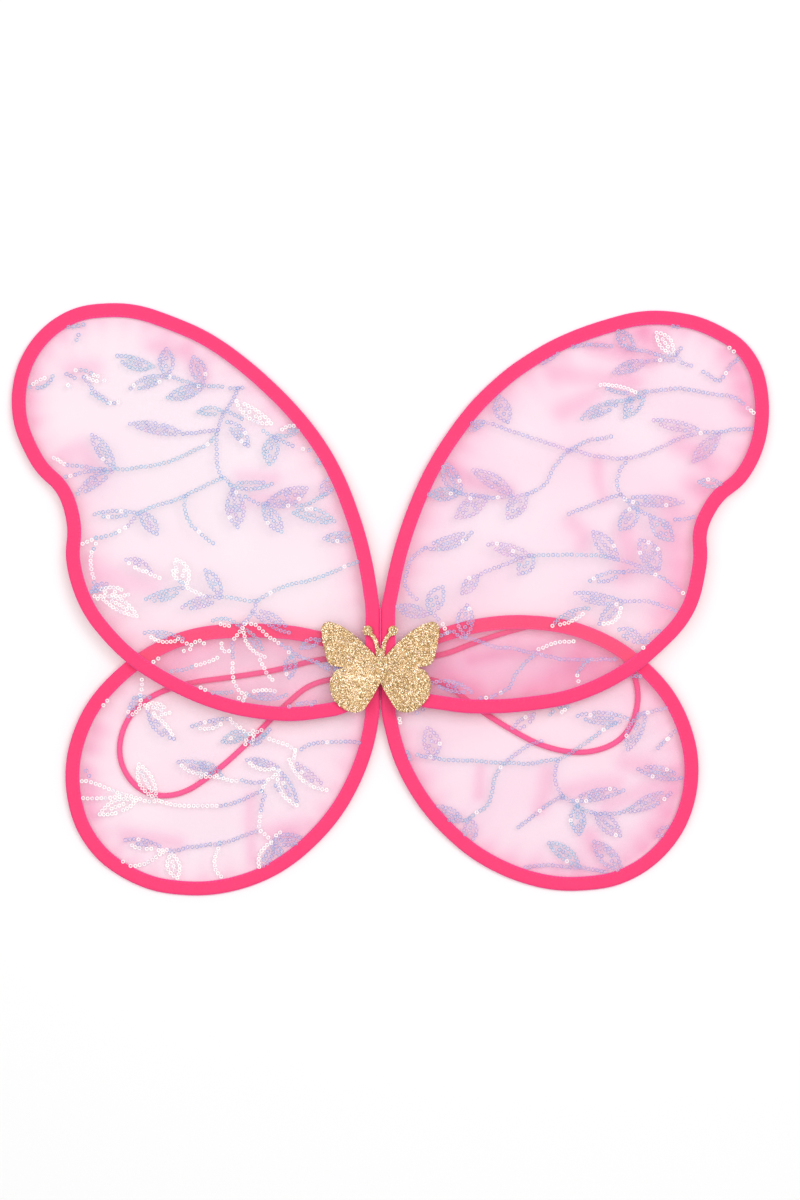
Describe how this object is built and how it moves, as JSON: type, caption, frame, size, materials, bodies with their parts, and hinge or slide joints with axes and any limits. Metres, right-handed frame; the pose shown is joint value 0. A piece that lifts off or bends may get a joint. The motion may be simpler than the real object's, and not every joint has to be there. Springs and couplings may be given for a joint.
{
  "type": "fairy wings",
  "caption": "Costume wings: four sheer wing hoops on a cloth spine, with a back pad, shoulder straps and a die-cut butterfly.",
  "frame": {"origin": "middle of the back pad's underside, the face that rests on the wearer's back", "axes": "+X across the wings to the viewer's right, +Y up the spine to the upper wings, +Z out of the back pad towards the butterfly"},
  "size_m": [0.4996, 0.3909, 0.0163],
  "materials": {
    "spring_wire": "drawn steel wire",
    "ferrule": "crimped sleeve",
    "binding": "velvety stretch binding, hot pink",
    "organza": "sheer organza, pale pink",
    "sequin": "iridescent ring sequins",
    "felt": "pink felt",
    "foam": "open-cell foam",
    "card": "stiff card",
    "tape": "woven tape",
    "thread": "polyester thread",
    "elastic": "round braided elastic",
    "glitter_sheet": "gold glitter on a fabric backing"
  },
  "bodies": {
    "hub": {"back_pad_cover": "felt", "back_pad_foam": "foam", "back_pad_card": "card", "spine_tape": "tape", "spine_seam": "thread", "strap_tacks": "thread", "strap_left": "elastic", "strap_right": "elastic", "butterfly": "glitter_sheet"},
    "lower_left_wing": {"lower_left_wire": "spring_wire", "lower_left_ferrule": "ferrule", "lower_left_binding": "binding", "lower_left_panel": "organza"},
    "upper_left_wing": {"upper_left_wire": "spring_wire", "upper_left_ferrule": "ferrule", "upper_left_binding": "binding", "upper_left_panel": "organza"},
    "lower_right_wing": {"lower_right_wire": "spring_wire", "lower_right_ferrule": "ferrule", "lower_right_binding": "binding", "lower_right_panel": "organza"},
    "upper_right_wing": {"upper_right_wire": "spring_wire", "upper_right_ferrule": "ferrule", "upper_right_binding": "binding", "upper_right_panel": "organza"}
  },
  "joints": [
    {"name": "lower_left_fold", "type": "hinge", "parent": "hub", "child": "lower_left_wing", "pos_m": [0, 0, 0.01312], "axis": [0, 0.9991, -0.0431], "range_deg": [0, 40], "deforming": ["butterfly"]},
    {"name": "upper_left_fold", "type": "hinge", "parent": "lower_left_wing", "child": "upper_left_wing", "pos_m": [0, 0, 0.01312], "axis": [0, 0.9991, -0.0431], "range_deg": [0, 25], "deforming": ["butterfly"]},
    {"name": "lower_right_fold", "type": "hinge", "parent": "hub", "child": "lower_right_wing", "pos_m": [0, 0, 0.01312], "axis": [0, -0.9991, 0.0431], "range_deg": [0, 40], "deforming": ["butterfly"]},
    {"name": "upper_right_fold", "type": "hinge", "parent": "lower_right_wing", "child": "upper_right_wing", "pos_m": [0, 0, 0.01312], "axis": [0, -0.9991, 0.0431], "range_deg": [0, 25], "deforming": ["butterfly"]}
  ]
}
